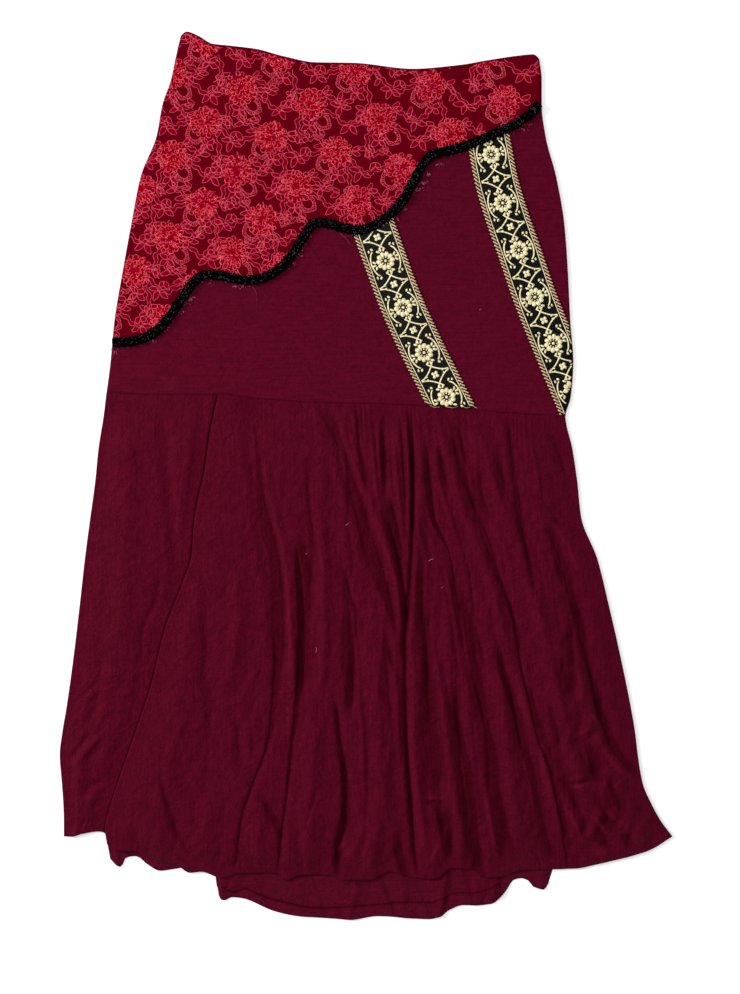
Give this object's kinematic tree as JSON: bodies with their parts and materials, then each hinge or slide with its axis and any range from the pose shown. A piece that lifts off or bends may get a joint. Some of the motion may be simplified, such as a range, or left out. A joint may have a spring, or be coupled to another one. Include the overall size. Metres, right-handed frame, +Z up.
{
  "type": "midi skirt",
  "caption": "Midi skirt laid flat: hip yoke with a lace overlay, scalloped braid and two woven ribbons, and a gathered, pleated flounce below a dropped seam.",
  "frame": {"origin": "under the middle of the laid skirt, on the surface it lies on", "axes": "+Y from the hem towards the waist, +X across the skirt to the right as seen from above, +Z up out of the front"},
  "size_m": [0.6114, 0.888, 0.0131],
  "materials": {
    "wine_cloth": "soft wine crepe, crosswise slub, slight sheen on the folds",
    "wine_cloth_inside": "wrong side of the wine crepe, duller than the face",
    "red_lace": "corded red lace, matt net with slightly shiny cord",
    "black_braid": "plaited black gimp, low gloss",
    "gold_ribbon": "black woven ribbon with pale gold figured threads"
  },
  "bodies": {
    "root": {"yoke_back": "wine_cloth_inside", "yoke_front": "wine_cloth", "flounce_back": "wine_cloth_inside", "hem_turnup_back": "wine_cloth_inside", "flounce_left": "wine_cloth", "flounce_front": "wine_cloth", "lace_overlay": "red_lace", "braid_trim": "black_braid", "ribbon_centre": "gold_ribbon", "ribbon_side": "gold_ribbon"}
  },
  "joints": []
}
